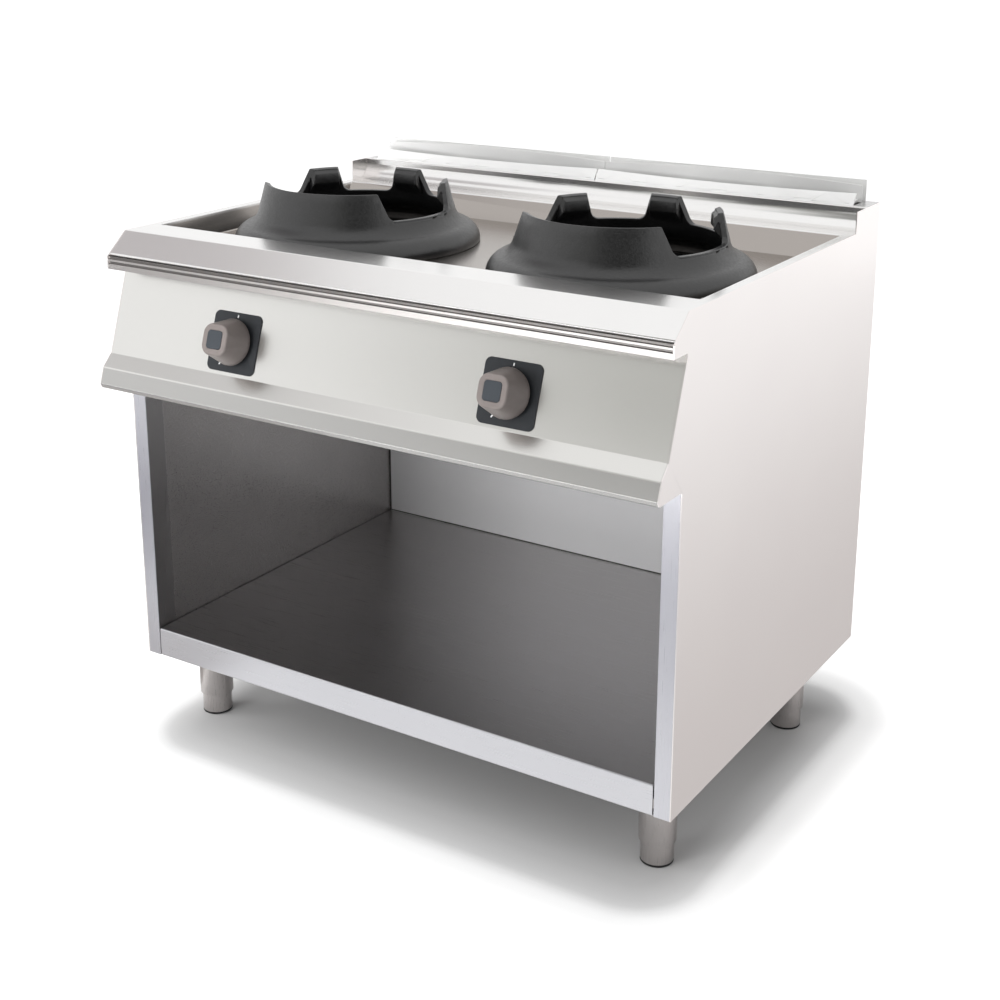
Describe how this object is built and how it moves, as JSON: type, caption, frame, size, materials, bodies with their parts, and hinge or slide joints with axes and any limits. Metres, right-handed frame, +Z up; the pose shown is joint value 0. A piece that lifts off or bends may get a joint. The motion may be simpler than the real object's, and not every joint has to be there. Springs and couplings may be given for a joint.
{
  "type": "wok range",
  "caption": "Free-standing gas wok range: cast wok rings in a recessed worktop, sloping control panel, open cabinet, vent at the rear and screw feet.",
  "frame": {"origin": "on the floor, at the middle of the footprint", "axes": "+X to the cook's right, +Y to the back, +Z up"},
  "size_m": [1, 0.791, 0.94],
  "materials": {
    "sheet": "fine satin brushed sheet",
    "inner_sheet": "dull unpolished sheet",
    "cast": "matt black enamelled casting",
    "knob": "grey-beige moulded plastic",
    "inlay": "dark grey moulded plastic",
    "plate": "dark grey moulded plate",
    "mark": "white raised marks",
    "brass": "turned brass",
    "pipe": "painted gas pipe",
    "tube": "bent aluminium tube",
    "leg": "brushed steel tube",
    "rubber": "black rubber",
    "burner": "raw casting",
    "enamel": "black enamelled sheet"
  },
  "bodies": {
    "range": {"side_panel_left": "sheet", "side_panel_right": "sheet", "front_post_left": "sheet", "front_post_right": "sheet", "worktop": "sheet", "front_rail": "sheet", "control_panel": "sheet", "cabinet_floor": "sheet", "lining_left": "inner_sheet", "lining_right": "inner_sheet", "cabinet_ceiling": "inner_sheet", "cabinet_back": "inner_sheet", "rear_panel": "inner_sheet", "rear_screws": "inner_sheet", "base_frame": "inner_sheet", "foot_tube_front_left": "leg", "foot_tube_front_right": "leg", "foot_tube_rear_left": "leg", "foot_tube_rear_right": "leg", "flue_duct": "inner_sheet", "flue_left": "sheet", "flue_right": "sheet", "drip_bowl_left": "enamel", "drip_bowl_right": "enamel", "burner_cup_left": "burner", "burner_cup_right": "burner", "burner_brackets": "inner_sheet", "injectors": "brass", "pilots": "brass", "thermocouples": "brass", "tap_body_left": "brass", "tap_body_right": "brass", "knob_plate_left": "plate", "knob_plate_right": "plate", "dial_marks": "mark", "manifold": "pipe", "supply_pipe_left": "tube", "supply_pipe_right": "tube", "gas_inlet": "brass"},
    "tap_plug_left": {"tap_plug_left": "brass"},
    "knob_left": {"tap_spindle_left": "brass", "knob_left": "knob", "knob_pad_left": "inlay"},
    "wok_ring_left": {"wok_ring_left": "cast"},
    "burner_cap_left": {"burner_cap_left": "burner"},
    "tap_plug_right": {"tap_plug_right": "brass"},
    "knob_right": {"tap_spindle_right": "brass", "knob_right": "knob", "knob_pad_right": "inlay"},
    "wok_ring_right": {"wok_ring_right": "cast"},
    "burner_cap_right": {"burner_cap_right": "burner"},
    "foot_front_left": {"foot_sleeve_front_left": "leg", "foot_pad_front_left": "rubber"},
    "foot_front_right": {"foot_sleeve_front_right": "leg", "foot_pad_front_right": "rubber"},
    "foot_rear_left": {"foot_sleeve_rear_left": "leg", "foot_pad_rear_left": "rubber"},
    "foot_rear_right": {"foot_sleeve_rear_right": "leg", "foot_pad_rear_right": "rubber"}
  },
  "joints": [
    {"name": "tap_turn_left", "type": "hinge", "parent": "range", "child": "tap_plug_left", "pos_m": [-0.248, -0.34308, 0.72584], "axis": [0, -0.948, 0.3183], "range_deg": [0, 150]},
    {"name": "knob_push_left", "type": "slide", "parent": "tap_plug_left", "child": "knob_left", "axis": [0, 0.948, -0.3183], "range_m": [0, 0.004], "stiffness_N_per_m": 1500, "springref_m": -0.004},
    {"name": "ring_lift_left", "type": "slide", "parent": "range", "child": "wok_ring_left", "axis": [0, 0, 1], "range_m": [0, 0.12]},
    {"name": "cap_lift_left", "type": "slide", "parent": "range", "child": "burner_cap_left", "axis": [0, 0, 1], "range_m": [0, 0.12]},
    {"name": "tap_turn_right", "type": "hinge", "parent": "range", "child": "tap_plug_right", "pos_m": [0.248, -0.34308, 0.72584], "axis": [0, -0.948, 0.3183], "range_deg": [0, 150]},
    {"name": "knob_push_right", "type": "slide", "parent": "tap_plug_right", "child": "knob_right", "axis": [0, 0.948, -0.3183], "range_m": [0, 0.004], "stiffness_N_per_m": 1500, "springref_m": -0.004},
    {"name": "ring_lift_right", "type": "slide", "parent": "range", "child": "wok_ring_right", "axis": [0, 0, 1], "range_m": [0, 0.12]},
    {"name": "cap_lift_right", "type": "slide", "parent": "range", "child": "burner_cap_right", "axis": [0, 0, 1], "range_m": [0, 0.12]},
    {"name": "foot_screw_front_left", "type": "slide", "parent": "range", "child": "foot_front_left", "axis": [0, 0, -1], "range_m": [0, 0.03]},
    {"name": "foot_screw_front_right", "type": "slide", "parent": "range", "child": "foot_front_right", "axis": [0, 0, -1], "range_m": [0, 0.03]},
    {"name": "foot_screw_rear_left", "type": "slide", "parent": "range", "child": "foot_rear_left", "axis": [0, 0, -1], "range_m": [0, 0.03]},
    {"name": "foot_screw_rear_right", "type": "slide", "parent": "range", "child": "foot_rear_right", "axis": [0, 0, -1], "range_m": [0, 0.03]}
  ]
}
